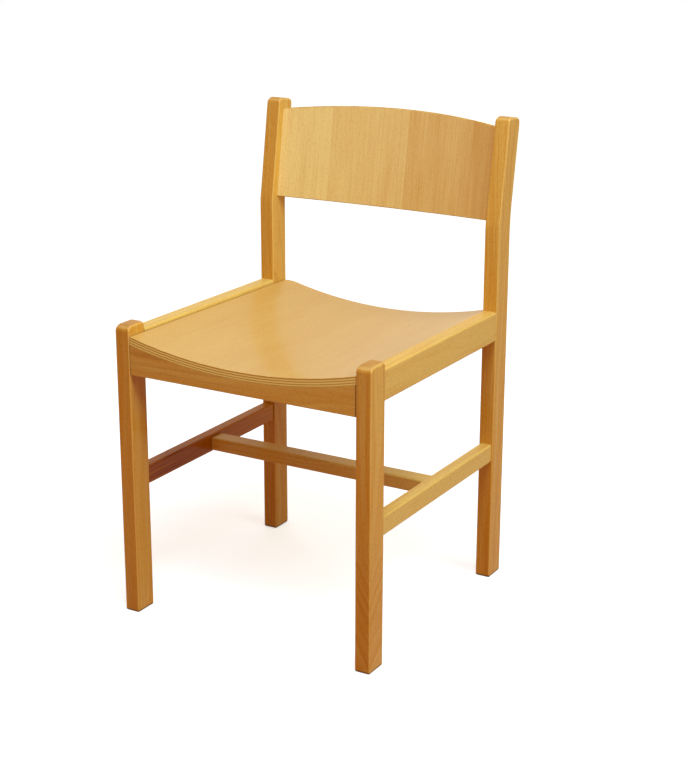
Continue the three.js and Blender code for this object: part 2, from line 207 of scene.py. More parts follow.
# Raw turned beech of the dowels: the same wood, but greyer, dull and dry to look at without lacquer
rawBeech = {
    **beech,
    "name": "rawTurnedBeech",
    "pale": "#E6CDA2",
    "warm": "#D2A670",
    "late": "#A67C4C",
    "fleck": "#94683A",
    "endGrain": "#B08A5E",
    "arrisShare": 0,
    "dirtShare": 0,
    "gloss": {**beech["gloss"], "Roughness": 0.75, "Specular IOR Level": 0.3, "Coat Weight": 0},
}


# Each wooden object carries its board's values by threes, under names of their own
def boardValues(tree, name):
    carried = addNode(tree, "Attribute", {"attribute_type": "OBJECT", "attribute_name": name})
    return addNode(tree, "SeparateXYZ", None, {0: carried.outputs["Vector"]}).outputs


# Where a point lies in its board and in the trunk that the board was sawn from, in mm, and which way
# it faces. The grain and the heart of the tree lie along X.
def boardSpace(tree):
    place = addNode(tree, "TexCoord")
    # The wood of a CAD node is turned from its X axis to its own grain
    grainTurn = addNode(tree, "Attribute", {"attribute_type": "OBJECT", "attribute_name": "grainTurn"})
    turned = addNode(tree, "VectorRotate", {"rotation_type": "Z_AXIS"},
                     {"Vector": place.outputs["Object"], "Angle": grainTurn.outputs["Fac"]})
    turnedNormal = addNode(tree, "VectorRotate", {"rotation_type": "Z_AXIS"},
                           {"Vector": place.outputs["Normal"], "Angle": grainTurn.outputs["Fac"]})
    eitherWay = addNode(tree, "VectorMath", {"operation": "ABSOLUTE"}, {0: turnedNormal})
    millimetres = addNode(tree, "VectorMath", {"operation": "SCALE"}, {"Vector": turned, "Scale": 1 / mm})
    along = addNode(tree, "SeparateXYZ", None, {0: millimetres}).outputs["X"]
    # Each board's own heart of the tree, off to one side of it, and its own stretch of trunk
    heart = addNode(tree, "Attribute", {"attribute_type": "OBJECT", "attribute_name": "heart"})
    straight = addNode(tree, "VectorMath", {"operation": "SUBTRACT"},
                       {0: millimetres, 1: heart.outputs["Vector"]})
    # Below a place along some boards the grain runs out to the side: that place in mm, and the slope.
    # The third value is how far the board's late wood is calmed, from 0 to 1.
    runOut = boardValues(tree, "runOut")
    past = addNode(tree, "Math", {"operation": "SUBTRACT"}, {0: runOut["X"], 1: along})
    onlyPast = addNode(tree, "Math", {"operation": "MAXIMUM"}, {0: past, 1: 0})
    drift = addNode(tree, "Math", {"operation": "MULTIPLY"}, {0: onlyPast, 1: runOut["Y"]})
    sideways = addNode(tree, "CombineXYZ", None, {1: drift, 2: drift})
    return {
        "metresAlong": addNode(tree, "SeparateXYZ", None, {0: turned}).outputs["X"],
        "along": along,
        "facing": addNode(tree, "SeparateXYZ", None, {0: eitherWay}).outputs,
        "trunk": addNode(tree, "VectorMath", {"operation": "ADD"}, {0: straight, 1: sideways}),
        "calm": runOut["Z"],
    }


# Growth rings round the heart, and broad light and dark bands of several years, which draw the
# board's figure. Returns the late wood's share of the colour, and the bands.
def growthRings(tree, look, board):
    bend = scaledNoise(tree, board["trunk"], look["wanderScale"], 2)
    centred = addNode(tree, "VectorMath", {"operation": "SUBTRACT"},
                      {0: bend.outputs["Color"], 1: (0.5, 0.5, 0.5)})
    wander = addNode(tree, "VectorMath", {"operation": "SCALE"},
                     {"Vector": centred, "Scale": look["wander"]})
    bent = addNode(tree, "VectorMath", {"operation": "ADD"}, {0: board["trunk"], 1: wander})
    flat = addNode(tree, "VectorMath", {"operation": "MULTIPLY"}, {0: bent, 1: (0, 1, 1)})
    radius = addNode(tree, "VectorMath", {"operation": "LENGTH"}, {0: flat})
    split = addNode(tree, "SeparateXYZ", None, {0: board["trunk"]})
    thinned = addNode(tree, "Math", {"operation": "MULTIPLY_ADD"},
                      {0: split.outputs["X"], 1: look["taper"], 2: radius.outputs["Value"]})
    years = addNode(tree, "Math", {"operation": "DIVIDE"}, {0: thinned, 1: look["ringWidth"]})
    season = addNode(tree, "Math", {"operation": "FRACT"}, {0: years})
    late = addNode(tree, "Math", {"operation": "POWER"}, {0: season, 1: look["lateSharpness"]})

    boldness = scaledNoise(tree, board["trunk"], look["boldScale"], 1)
    weight = addNode(tree, "MapRange", smoothly,
                     {"Value": boldness, "From Min": look["boldNoise"][0], "From Max": look["boldNoise"][1],
                      "To Min": look["lateShare"][0], "To Max": look["lateShare"][1]})
    uncalmed = addNode(tree, "Math", {"operation": "SUBTRACT"}, {0: 1, 1: board["calm"]})
    boardWeight = addNode(tree, "Math", {"operation": "MULTIPLY"}, {0: weight, 1: uncalmed})
    lateShare = addNode(tree, "Math", {"operation": "MULTIPLY"}, {0: late, 1: boardWeight})

    outward = addNode(tree, "CombineXYZ", None, {0: split.outputs["X"], 1: thinned})
    return lateShare, scaledNoise(tree, outward, look["figureScale"], 3, 0.6)


# Fine streaks of fibre along the grain
def fibreStreaks(tree, look, board):
    length = look["streakLength"]
    width = look["streakWidth"]
    return scaledNoise(tree, board["trunk"], (1 / length, 1 / width, 1 / width), 3, 0.55)


# Each board has its own tone, from pale by warm to deep, which may change along it. Towards the feet of
# most uprights and the front of the left stretcher, that change in part paints in shade.
def boardColour(tree, look, board, tone, figure, streaks):
    boardTone = addNode(tree, "Math", {"operation": "MULTIPLY_ADD"},
                        {0: board["metresAlong"], 1: tone["Y"], 2: tone["X"]})
    # Paler faces with the rays on end, in part painted light on the sides lit from the right
    faceTone = addNode(tree, "Math", {"operation": "MULTIPLY_ADD"},
                       {0: board["facing"]["Z"], 1: -look["radialPaler"], 2: boardTone})
    grain = grainTone(tree, ((figure, look["figureShare"]), (streaks, look["streakShare"])))
    warmth = addNode(tree, "Math", {"operation": "ADD"}, {0: faceTone, 1: grain})
    toWarm = addNode(tree, "MapRange", None, {"Value": warmth})
    paleOrWarm = addNode(tree, "Mix", {"data_type": "RGBA"},
                         {0: toWarm, 6: linear(look["pale"]), 7: linear(look["warm"])})
    toDeep = addNode(tree, "MapRange", None, {"Value": warmth, "From Min": 1, "From Max": 2})
    deepened = addNode(tree, "Mix", {"data_type": "RGBA"},
                       {0: toDeep, 6: paleOrWarm.outputs[2], 7: linear(look["deep"])})
    return deepened.outputs[2]


# Arrises get a painted highlight, and end grain drinks the lacquer and goes duller and browner
def highlightAndEnds(tree, look, board, tone):
    facing = board["facing"]
    flattest = addNode(tree, "Math", {"operation": "MAXIMUM"}, {0: facing["Y"], 1: facing["Z"]})
    flatter = addNode(tree, "Math", {"operation": "MAXIMUM"}, {0: facing["X"], 1: flattest})
    start, full = look["arrisTurn"]
    arris = addNode(tree, "MapRange", smoothly,
                    {"Value": flatter, "From Min": start, "From Max": full, "To Max": look["arrisShare"]})
    highlighted = addNode(tree, "Math", {"operation": "MULTIPLY"}, {0: arris, 1: tone["Z"]})
    start, full = look["endGrainTurn"]
    ends = addNode(tree, "MapRange", smoothly,
                   {"Value": facing["X"], "From Min": start, "From Max": full,
                    "To Max": look["endGrainShare"]})
    return highlighted, ends


# Dark ends: how far they lie below and above the piece's middle, and how far the dirt and painted shade
# reach from them, all in mm. A piece with no reach has none.
def dirtyAndShadedEnds(tree, look, board):
    ends = boardValues(tree, "darkEnds")
    above = addNode(tree, "Math", {"operation": "ADD"}, {0: board["along"], 1: ends["X"]})
    below = addNode(tree, "Math", {"operation": "SUBTRACT"}, {0: ends["Y"], 1: board["along"]})
    nearest = addNode(tree, "Math", {"operation": "MINIMUM"}, {0: above, 1: below})
    reached = addNode(tree, "Math", {"operation": "DIVIDE"}, {0: nearest, 1: ends["Z"]})
    dirt = addNode(tree, "MapRange", smoothly,
                   {"Value": reached, "From Min": 1, "From Max": look["dirtFull"],
                    "To Max": look["dirtShare"]})
    hasDirtAndShade = addNode(tree, "Math", {"operation": "GREATER_THAN"}, {0: ends["Z"], 1: 0})
    return addNode(tree, "Math", {"operation": "MULTIPLY"}, {0: dirt, 1: hasDirtAndShade})


def solidBeech(look):
    material, tree = newMaterial(look["name"])
    board = boardSpace(tree)
    tone = boardValues(tree, "tone")
    lateShare, figure = growthRings(tree, look, board)
    streaks = fibreStreaks(tree, look, board)
    # A fleck fills about half of its cell
    acrossGrain = 0.5 / look["fleckWidth"]
    flecks = rayFlecks(tree, look, board["trunk"], (0.5 / look["fleckLength"], acrossGrain, acrossGrain))
    highlighted, ends = highlightAndEnds(tree, look, board, tone)
    layers = (
        (lateShare, look["late"]),
        (flecks, look["fleck"]),
        # painted highlight on the arrises
        (highlighted, look["arris"]),
        (ends, look["endGrain"]),
        # dirt and painted shade at the feet and in the joints
        (dirtyAndShadedEnds(tree, look, board), look["dirt"]),
    )
    relief = addNode(tree, "Math", {"operation": "SUBTRACT"}, {0: streaks, 1: flecks})
    addFinish(tree, look, boardColour(tree, look, board, tone, figure, streaks), layers, relief)
    return material


# Lacquered beech veneer on moulded plywood: leaves laid side by side, each with its own tone, pin
# stripes along the grain, small dark flecks, and a clear gloss that mirrors softly.
seatVeneer = {
    "name": "lacqueredSeatVeneer",
    "pale": "#E0C277",
    "warm": "#D8B060",
    "leafEdges": (),              # mm from the middle, across the grain
    "leafShares": (0.3,),         # how warm each leaf is
    "leafShift": 470,             # mm along the grain from leaf to leaf, so that no two look alike
    "stripeWidth": 3.0,           # mm
    "stripeLength": 160,          # mm
    "stripeShare": 0.18,
    "cloudShare": 0.2,            # how strongly broad, soft bands vary
    "cloudScale": (0.004, 0.022, 0),        # waves per mm, along the grain and across it
    "fleck": "#B07A35",
    "fleckShare": 0.28,
    "fleckRim": (0.4, 0.1),
    "fleckDensity": (0.16, 0.7, 0),         # cells per mm; the flecks are twice the real width, to show
    "dirt": "#733F0C",            # dirt of years and painted shade in the joint along the rails
    "dirtShare": 0.6,
    "dirtFrom": 192.6,            # mm from the middle
    "dirtTo": 193.6,
    "relief": (0.1, 0.04 * mm),
    "gloss": {**beech["gloss"], "Roughness": 0.34, "Coat Weight": 0.11, "Coat Roughness": 0.18},
}
backVeneer = {
    **seatVeneer,
    "name": "lacqueredBackVeneer",
    "pale": "#F9E9A4",
    "warm": "#DCAC58",
    "cloudShare": 0.14,
    "leafEdges": (-110, 27, 149),
    # The leaves grow warmer to the right, in part painted shade over the panel's right half
    "leafShares": (0.08, 0.24, 0.48, 0.76),
    "dirtShare": 0,
    "gloss": {**seatVeneer["gloss"], "Coat Weight": 0.25, "Coat Roughness": 0.2},
}


# The leaf's number steps up at each edge, and its warmth with it
def veneerLeaves(tree, look, across):
    leaf = 0
    warmth = look["leafShares"][0]
    for edge, before, after in zip(look["leafEdges"], look["leafShares"], look["leafShares"][1:]):
        past = addNode(tree, "Math", {"operation": "GREATER_THAN"}, {0: across, 1: edge})
        leaf = addNode(tree, "Math", {"operation": "ADD"}, {0: past, 1: leaf})
        step = addNode(tree, "Math", {"operation": "MULTIPLY"}, {0: past, 1: after - before})
        warmth = addNode(tree, "Math", {"operation": "ADD"}, {0: step, 1: warmth})
    ownPlace = addNode(tree, "Math", {"operation": "MULTIPLY"}, {0: leaf, 1: look["leafShift"]})
    return addNode(tree, "CombineXYZ", None, {0: ownPlace}), warmth


def lacqueredVeneer(look):
    material, tree = newMaterial(look["name"])
    millimetres = placeInMillimetres(tree)
    split = addNode(tree, "SeparateXYZ", None, {0: millimetres})
    shift, leafWarmth = veneerLeaves(tree, look, split.outputs["Y"])
    sheet = addNode(tree, "VectorMath", {"operation": "ADD"}, {0: millimetres, 1: shift})

    stripes = scaledNoise(tree, sheet, (1 / look["stripeLength"], 1 / look["stripeWidth"], 0), 4, 0.6)
    clouds = scaledNoise(tree, sheet, look["cloudScale"], 2)
    grain = grainTone(tree, ((stripes, look["stripeShare"]), (clouds, look["cloudShare"])))
    warmth = addNode(tree, "Math", {"operation": "ADD", "use_clamp": True}, {0: grain, 1: leafWarmth})

    flecks = rayFlecks(tree, look, sheet, look["fleckDensity"])
    # Dirt and painted shade along the joints with the rails
    aside = addNode(tree, "Math", {"operation": "ABSOLUTE"}, {0: split.outputs["Y"]})
    dirt = addNode(tree, "MapRange", smoothly,
                   {"Value": aside, "From Min": look["dirtFrom"], "From Max": look["dirtTo"],
                    "To Max": look["dirtShare"]})
    layers = ((warmth, look["warm"]), (flecks, look["fleck"]), (dirt, look["dirt"]))
    addFinish(tree, look, linear(look["pale"]), layers, stripes)
    return material


# The sanded edge of moulded beech plywood: plies lie in light and dark bands, the dark ones cut
# across the grain, under the same clear lacquer.
plyEdge = {
    "light": "#FFF29A",
    "dark": "#C99A3C",
    "plies": (0.1, 2.1, 2.2, 1.4, 2.4, 1.4, 2.4),   # mm, from the hollow face, light first
    "blur": 0.2,                  # mm
    "waver": 0.4,                 # mm, how far the plies stray up and down
    "waverScale": (0.05, 0.05, 0.05),       # waves per mm
    "frayShare": 0.2,             # how much the wood's pores fray the bands
    "frayScale": (0.5, 0.5, 0.5),
    "gloss": {**beech["gloss"], "Roughness": 0.45, "Coat Weight": 0.2, "Coat Roughness": 0.22},
}


def sandedPlyEdge(look):
    material, tree = newMaterial("sandedPlywoodEdge")
    depth = addNode(tree, "Attribute", {"attribute_name": "plyDepth"})
    millimetres = placeInMillimetres(tree)
    ripple = scaledNoise(tree, millimetres, look["waverScale"], 2)
    waver = addNode(tree, "MapRange", None,
                    {"Value": ripple, "To Min": -look["waver"], "To Max": look["waver"]})
    across = addNode(tree, "Math", {"operation": "ADD"}, {0: depth.outputs["Fac"], 1: waver})
    share = 1
    line = 0
    for number, ply in enumerate(look["plies"][:-1]):
        line += ply
        step = addNode(tree, "MapRange", smoothly,
                       {"Value": across, "From Min": line - look["blur"], "From Max": line + look["blur"],
                        "To Max": -1 if number % 2 == 0 else 1})
        share = addNode(tree, "Math", {"operation": "ADD"}, {0: step, 1: share})
    mottle = scaledNoise(tree, millimetres, look["frayScale"], 3)
    fray = addNode(tree, "MapRange", None,
                   {"Value": mottle, "To Min": -look["frayShare"], "To Max": look["frayShare"]})
    mixed = addNode(tree, "Math", {"operation": "ADD", "use_clamp": True}, {0: share, 1: fray})
    addFinish(tree, look, linear(look["dark"]), ((mixed, look["light"]),))
    return material


# Zinc-plated steel of the screws: bright bluish grey metal with a satin gloss, and a faint straw
# bloom in patches where the plating was passivated.
zincPlate = {
    "bright": "#C6CCD2",
    "bloom": "#C2B68E",
    "bloomShare": 0.6,
    "bloomNoise": (0.4, 0.65),    # where a patch starts, and where it is full
    "bloomSize": 3,               # mm
    "gritSize": 0.15,             # mm
    "relief": (0.2, 0.02 * mm),
    "gloss": {"Metallic": 1, "Roughness": 0.3},
}


def zincPlatedSteel(look):
    material, tree = newMaterial("zincPlatedSteel")
    millimetres = placeInMillimetres(tree)
    patches = scaledNoise(tree, millimetres, [1 / look["bloomSize"]] * 3, 2)
    start, full = look["bloomNoise"]
    bloom = addNode(tree, "MapRange", smoothly,
                    {"Value": patches, "From Min": start, "From Max": full, "To Max": look["bloomShare"]})
    grit = scaledNoise(tree, millimetres, [1 / look["gritSize"]] * 3, 2)
    addFinish(tree, look, linear(look["bright"]), ((bloom, look["bloom"]),), grit)
    return material


beechMaterial = solidBeech(beech)
dowelMaterial = solidBeech(rawBeech)
seatMaterial = lacqueredVeneer(seatVeneer)
backMaterial = lacqueredVeneer(backVeneer)
edgeMaterial = sandedPlyEdge(plyEdge)
screwMaterial = zincPlatedSteel(zincPlate)
print("materials made")


# Shapes. Every finer piece is a loft: closed rings of points joined ring to ring, capped at both
# ends. An outline is given by its corners, each with its radius.
def roundedOutline(corners, steps):
    points = []
    for i, (u, v, radius) in enumerate(corners):
        corner = Vector((u, v))
        before = (Vector(corners[i - 1][:2]) - corner).normalized()
        after = (Vector(corners[(i + 1) % len(corners)][:2]) - corner).normalized()
        half = before.angle(after) / 2
        centre = corner + (before + after).normalized() * radius / math.sin(half)
        start = corner + before * radius / math.tan(half) - centre
        end = corner + after * radius / math.tan(half) - centre
        fromAngle = math.atan2(start.y, start.x)
        turn = (math.atan2(end.y, end.x) - fromAngle + math.pi) % (2 * math.pi) - math.pi
        for k in range(steps + 1):
            angle = fromAngle + turn * k / steps
            points.append(centre + radius * Vector((math.cos(angle), math.sin(angle))))
    return points


# The anticlockwise outline, drawn in by a distance at each point
def insetOutline(points, distances):
    inset = []
    for i, (point, distance) in enumerate(zip(points, distances)):
        arriving = (point - points[i - 1]).normalized()
        leaving = (points[(i + 1) % len(points)] - point).normalized()
        inward = (arriving + leaving).orthogonal().normalized()
        if inward.dot(Vector((-arriving.y, arriving.x))) < 0:
            inward.negate()
        inset.append(point + inward * distance / inward.dot(Vector((-arriving.y, arriving.x))))
    return inset


# Rings of a board cut to an outline in Y and Z, its thickness along X centred on zero. Its edges are
# eased by the radius that easeAt gives for each height.
def boardRings(outline, thickness, easeAt, steps):
    rings = []
    eases = [easeAt(p.y) for p in outline]
    for k in range(steps + 1):
        angle = math.pi / 2 * k / steps
        ring = insetOutline(outline, [ease * (1 - math.cos(angle)) for ease in eases])
        rings.append([Vector((thickness / 2 - ease * (1 - math.sin(angle)), p.x, p.y))
                      for ease, p in zip(eases, ring)])
    mirrored = [[Vector((-p.x, p.y, p.z)) for p in ring] for ring in rings]
    return mirrored[::-1] + rings


# Bands give the number of the material for each strip round the rings. Both caps take the second.
def loft(name, rings, materials, bands=None):
    count = len(rings[0])
    vertices = [point for ring in rings for point in ring]
    faces = []
    for r in range(len(rings) - 1):
        for i in range(count):
            a = r * count + i
            b = r * count + (i + 1) % count
            faces.append((a, b, b + count, a + count))
    last = (len(rings) - 1) * count
    faces.append(tuple(range(count))[::-1])
    faces.append(tuple(range(last, last + count)))
    mesh = bpy.data.meshes.new(name)
    mesh.from_pydata(vertices, [], faces)
    for material in materials:
        mesh.materials.append(material)
    if bands:
        indices = bands * (len(rings) - 1) + [1, 1]
        mesh.polygons.foreach_set("material_index", indices)
    return mesh


# Rings of a panel bent about an axis along Y. The hollow face touches Z = 0 at the middle. With them
# comes each point's depth under that face, in mm.
def panelRings(panel, stations, limits, radiusAt):
    thickness = panel["thickness"]
    ease = panel["ease"]
    spans = panel["spans"]
    quarter = panel["easeSteps"] + 1
    rings = []
    depths = []
    for x in stations:
        low, high = limits(x)
        arcs = roundedOutline([(low, -thickness, ease), (high, -thickness, ease),
                               (high, 0, ease), (low, 0, ease)], panel["easeSteps"])
        under = [arcs[quarter - 1].lerp(arcs[quarter], k / spans) for k in range(1, spans)]
        over = [arcs[3 * quarter - 1].lerp(arcs[3 * quarter], k / spans) for k in range(1, spans)]
        section = arcs[:quarter] + under + arcs[quarter:3 * quarter] + over + arcs[3 * quarter:]
        ring = []
        for y, height in section:
            radius = radiusAt(y)
            ring.append(Vector((x, y, radius - math.sqrt((radius - height) ** 2 - x ** 2))))
            depths.append(-height / mm)
        rings.append(ring)
    return rings, depths


# The two faces show the veneer, and the eased edges show the plies
def panelMesh(node, panel, stations, limits, radiusAt, faceMaterial):
    rings, depths = panelRings(panel, stations, limits, radiusAt)
    eased = [1] * panel["easeSteps"]
    face = [0] * panel["spans"]
    side = eased + face + eased + [1]
    mesh = loft(node, rings, [faceMaterial, edgeMaterial], side + side)
    mesh.attributes.new("plyDepth", "FLOAT", "POINT").data.foreach_set("value", depths)
    return mesh


# Where a panel's rings lie along X: evenly, and closer together round its corners
def stationsAcross(half, divisions, cornerRadius=0, cornerSteps=0):
    straight = half - cornerRadius
    stations = [straight * (2 * i / divisions - 1) for i in range(divisions + 1)]
    for i in range(1, cornerSteps + 1):
        x = straight + cornerRadius * math.sin(math.pi / 2 * i / cornerSteps)
        stations = [-x] + stations + [x]
    return stations


def cutAway(mesh, cutterMesh):
    body = bpy.data.objects.new("body", mesh)
    cutter = bpy.data.objects.new("cutter", cutterMesh)
    for item in (body, cutter):
        bpy.context.scene.collection.objects.link(item)
    cut = body.modifiers.new("cut", "BOOLEAN")
    cut.operation = "DIFFERENCE"
    cut.solver = "EXACT"
    cut.object = cutter
    bpy.context.view_layer.update()
    shaped = bpy.data.meshes.new_from_object(body.evaluated_get(bpy.context.evaluated_depsgraph_get()))
    shaped.name = mesh.name
    bpy.data.objects.remove(body)
    bpy.data.objects.remove(cutter)
    return shaped


def pieceName(node):
    first, *rest = node.split("_")
    return first + "".join(word.capitalize() for word in rest)


sharpFrom = math.radians(40)    # edges that turn further stay sharp
usualArrisHighlight = 0.15                # how strong the painted highlight on the arrises is, from 0 to 1


# Puts a shaped piece in place of its CAD node. Its own X axis lies along the grain, so that the
# wood's pattern follows the board. The board's five numbers are its place in the trunk, in mm along
# the grain and across it, its tone, 0 for pale, 1 for warm and 2 for deep, and the tone's change
# per metre.
def setPiece(node, mesh, placement, grain, across, board=(0, 0, 0, 0, 0), wear=usualArrisHighlight):
    low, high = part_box(node)
    along = Vector(grain).normalized()
    side = Vector(across).normalized()
    turn = Matrix((along, side, along.cross(side))).transposed().to_4x4()
    home = Matrix.Translation((low + high) / 2) @ turn
    mesh.transform(home.inverted() @ placement)
    mesh.polygons.foreach_set("use_smooth", [True] * len(mesh.polygons))
    mesh.set_sharp_from_angle(angle=sharpFrom)
    piece = bpy.data.objects.new(pieceName(node), mesh)
    bpy.context.scene.collection.objects.link(piece)
    piece.matrix_world = home
    piece["heart"] = [float(value) for value in board[:3]]
    # The third value is the strength of the painted highlight on the arrises
    piece["tone"] = [float(board[3]), float(board[4]), float(wear)]
    weighted = piece.modifiers.new("flatFacesStayFlat", "WEIGHTED_NORMAL")
    weighted.keep_sharp = True
    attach(piece, "root")
    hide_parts(node)
    return piece


# Directions for the grain, and places that the pieces share
up = (0, 0, 1)
deep = (0, 1, 0)
wide = (1, 0, 0)
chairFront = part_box("front_leg_left")[0].y
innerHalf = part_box("front_leg_right")[0].x
legMiddle = (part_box("front_leg_right")[0].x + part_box("front_leg_right")[1].x) / 2
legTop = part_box("front_leg_right")[1].z
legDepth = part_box("front_leg_right")[1].y - chairFront
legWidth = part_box("front_leg_right")[1].x - innerHalf
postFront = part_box("rear_post_right")[0].y

# Seat: moulded plywood, hollow along its middle, falling a little to the rear
seat = {
    "thickness": 12 * mm,
    "middleHeight": 425.4 * mm,
    "frontHollow": 787 * mm,      # radius
    "rearHollow": 730 * mm,
    "fall": math.radians(0.86),
    "frontSetback": 1 * mm,
    "length": 445 * mm,
    "rearCorner": 18 * mm,
    "ease": 0.5 * mm,
    "gap": 0.3 * mm,
    "divisions": 48,              # from side to side
    "spans": 10,                  # from front to rear
    "easeSteps": 5,
    "cornerSteps": 8,
}


def seatRadius(y):
    return seat["frontHollow"] + (seat["rearHollow"] - seat["frontHollow"]) * y / seat["length"]


def seatHeight(x, y, depth):
    bend = seatRadius(y) - math.sqrt((seatRadius(y) + depth) ** 2 - x ** 2)
    return seat["middleHeight"] + bend / math.cos(seat["fall"]) - y * math.tan(seat["fall"])


def seatLimits(x):
    corner = seat["rearCorner"]
    past = max(0, abs(x) - (innerHalf - seat["gap"] - corner))
    return seat["frontSetback"], seat["length"] - corner + math.sqrt(max(0, corner ** 2 - past ** 2))


def makeSeat():
    stations = stationsAcross(innerHalf - seat["gap"], seat["divisions"], seat["rearCorner"],
                              seat["cornerSteps"])
    mesh = panelMesh("seat_panel", seat, stations, seatLimits, seatRadius, seatMaterial)
    placement = (Matrix.Translation((0, chairFront, seat["middleHeight"]))
                 @ Matrix.Rotation(-seat["fall"], 4, "X"))
    setPiece("seat_panel", mesh, placement, deep, wide)


makeSeat()
print("seat made")

# Back: moulded plywood with an arched top, its ends let into grooves in the posts
back = {
    "thickness": 10 * mm,
    "hollow": 758 * mm,           # radius
    "setback": 13.6 * mm,
    "bottom": 7.5 * mm,
    "endHeight": 145 * mm,
    "archRise": 15 * mm,
    "groove": 8 * mm,
    "ease": 1.5 * mm,
    "gap": 0.3 * mm,
    "divisions": 48,
    "spans": 6,
    "easeSteps": 5,
}
# Uprights: legs and raked posts sawn from planks, all their edges eased
uprights = {
    "ease": 2.5 * mm,
    "topEase": 5.5 * mm,
    "topEaseReach": 6 * mm,       # down from the top
    "corner": 3 * mm,
    "rearTopCorner": 6 * mm,
    "legTopRadius": 10.5 * mm,
    "postTopRadius": 9 * mm,
    "rake": math.radians(9),
    "frontBendHeight": 587 * mm,
    "rearBendRise": 7 * mm,
    "frontBendRadius": 80 * mm,
    "rearBendRadius": 300 * mm,
    "rakedLength": 169.5 * mm,
    "steps": 6,
    # painted highlight on the uprights' arrises, at full strength
    "wear": 1,
    "soleReach": 4.5,             # mm, the dirt and painted contact shade on the feet's lowest edge
    # Most uprights grow warmer towards their feet, in part painted shade low down
    "boards": {
        "front_leg_left": (120, 40, -70, 0.87, 0),
        "front_leg_right": (640, 60, 90, 0.86, -0.5),
        "rear_post_left": (1500, -35, 90, 0.78, -0.35),
        "rear_post_right": (2300, 28, -95, 0.74, -0.6),
    },
    # Below which height the grain runs out to the side, in mm from the middle, and how steeply
    "runOuts": {"front_leg_right": (-50, 0.26)},
}


def backLimits(x):
    archRadius = (innerHalf ** 2 + back["archRise"] ** 2) / (2 * back["archRise"])
    arch = back["archRise"] - archRadius + math.sqrt(archRadius ** 2 - x ** 2)
    return back["bottom"], back["bottom"] + back["endHeight"] + arch


def backPlacement(forward):
    rake = uprights["rake"]
    bow = back["hollow"] - math.sqrt(back["hollow"] ** 2 - innerHalf ** 2)
    setback = back["setback"] + bow - forward
    place = (0, postFront + setback * math.cos(rake),
             uprights["frontBendHeight"] - setback * math.sin(rake))
    return Matrix.Translation(place) @ Matrix.Rotation(math.pi / 2 - rake, 4, "X")


def makeBack():
    stations = stationsAcross(innerHalf + back["groove"] - back["gap"], back["divisions"])
    mesh = panelMesh("back_panel", back, stations, backLimits, lambda y: back["hollow"], backMaterial)
    rake = uprights["rake"]
    setPiece("back_panel", mesh, backPlacement(0), (0, math.sin(rake), math.cos(rake)), wide)


# The back's own shape, larger by the gap all round, cuts its grooves
def grooveMesh():
    gap = back["gap"]
    groove = {**back, "thickness": back["thickness"] + 2 * gap, "spans": 1}
    stations = stationsAcross(innerHalf + back["groove"], back["divisions"])
    rings, _ = panelRings(groove, stations, lambda x: (backLimits(x)[0] - gap, backLimits(x)[1] + gap),
                          lambda y: back["hollow"] - gap)
    mesh = loft("groove", rings, [beechMaterial])
    mesh.transform(backPlacement(gap))
    return mesh


makeBack()
print("back made")


def legOutline():
    return roundedOutline([
        (0, 0, uprights["corner"]),
        (legDepth, 0, uprights["corner"]),
        (legDepth, legTop, uprights["rearTopCorner"]),
        (0, legTop, uprights["legTopRadius"]),
    ], uprights["steps"])


def postOutline():
    rake = uprights["rake"]
    thickness = legDepth * math.cos(rake) - uprights["rearBendRise"] * math.sin(rake)
    frontBend = uprights["frontBendHeight"]
    topY = uprights["rakedLength"] * math.sin(rake)
    topZ = frontBend + uprights["rakedLength"] * math.cos(rake)
    topRadius = uprights["postTopRadius"]
    return roundedOutline([
        (0, 0, uprights["corner"]),
        (legDepth, 0, uprights["corner"]),
        (legDepth, frontBend + uprights["rearBendRise"], uprights["rearBendRadius"]),
        (topY + thickness * math.cos(rake), topZ - thickness * math.sin(rake), topRadius),
        (topY, topZ, topRadius),
        (0, frontBend, uprights["frontBendRadius"]),
    ], uprights["steps"])


# The edges' radius grows over the last few millimetres to the top
def easeBelow(top):
    def easeAt(height):
        near = min(1, max(0, (height - top) / uprights["topEaseReach"] + 1))
        return uprights["ease"] + (uprights["topEase"] - uprights["ease"]) * near
    return easeAt


def makeUprights():
    for side, sign in (("left", -1), ("right", 1)):
        for kind, outline, front in (("front_leg", legOutline(), chairFront),
                                     ("rear_post", postOutline(), postFront)):
            node = kind + "_" + side
            top = max(point.y for point in outline)
            rings = boardRings(outline, legWidth, easeBelow(top), uprights["steps"])
            mesh = loft(node, rings, [beechMaterial])
            mesh.transform(Matrix.Translation((sign * legMiddle, front, 0)))
            if kind == "rear_post":
                mesh = cutAway(mesh, grooveMesh())
            upright = setPiece(node, mesh, Matrix(), up, deep, uprights["boards"][node],
                               uprights["wear"])
            # Only the foot is dark: the other end is set far above the top
            low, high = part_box(node)
            half = (high.z - low.z) / 2 / mm
            upright["darkEnds"] = [half, 2 * half, uprights["soleReach"]]
            place, slope = uprights["runOuts"].get(node, (0, 0))
            upright["runOut"] = [float(place), float(slope), 0.0]


makeUprights()
print("uprights made")

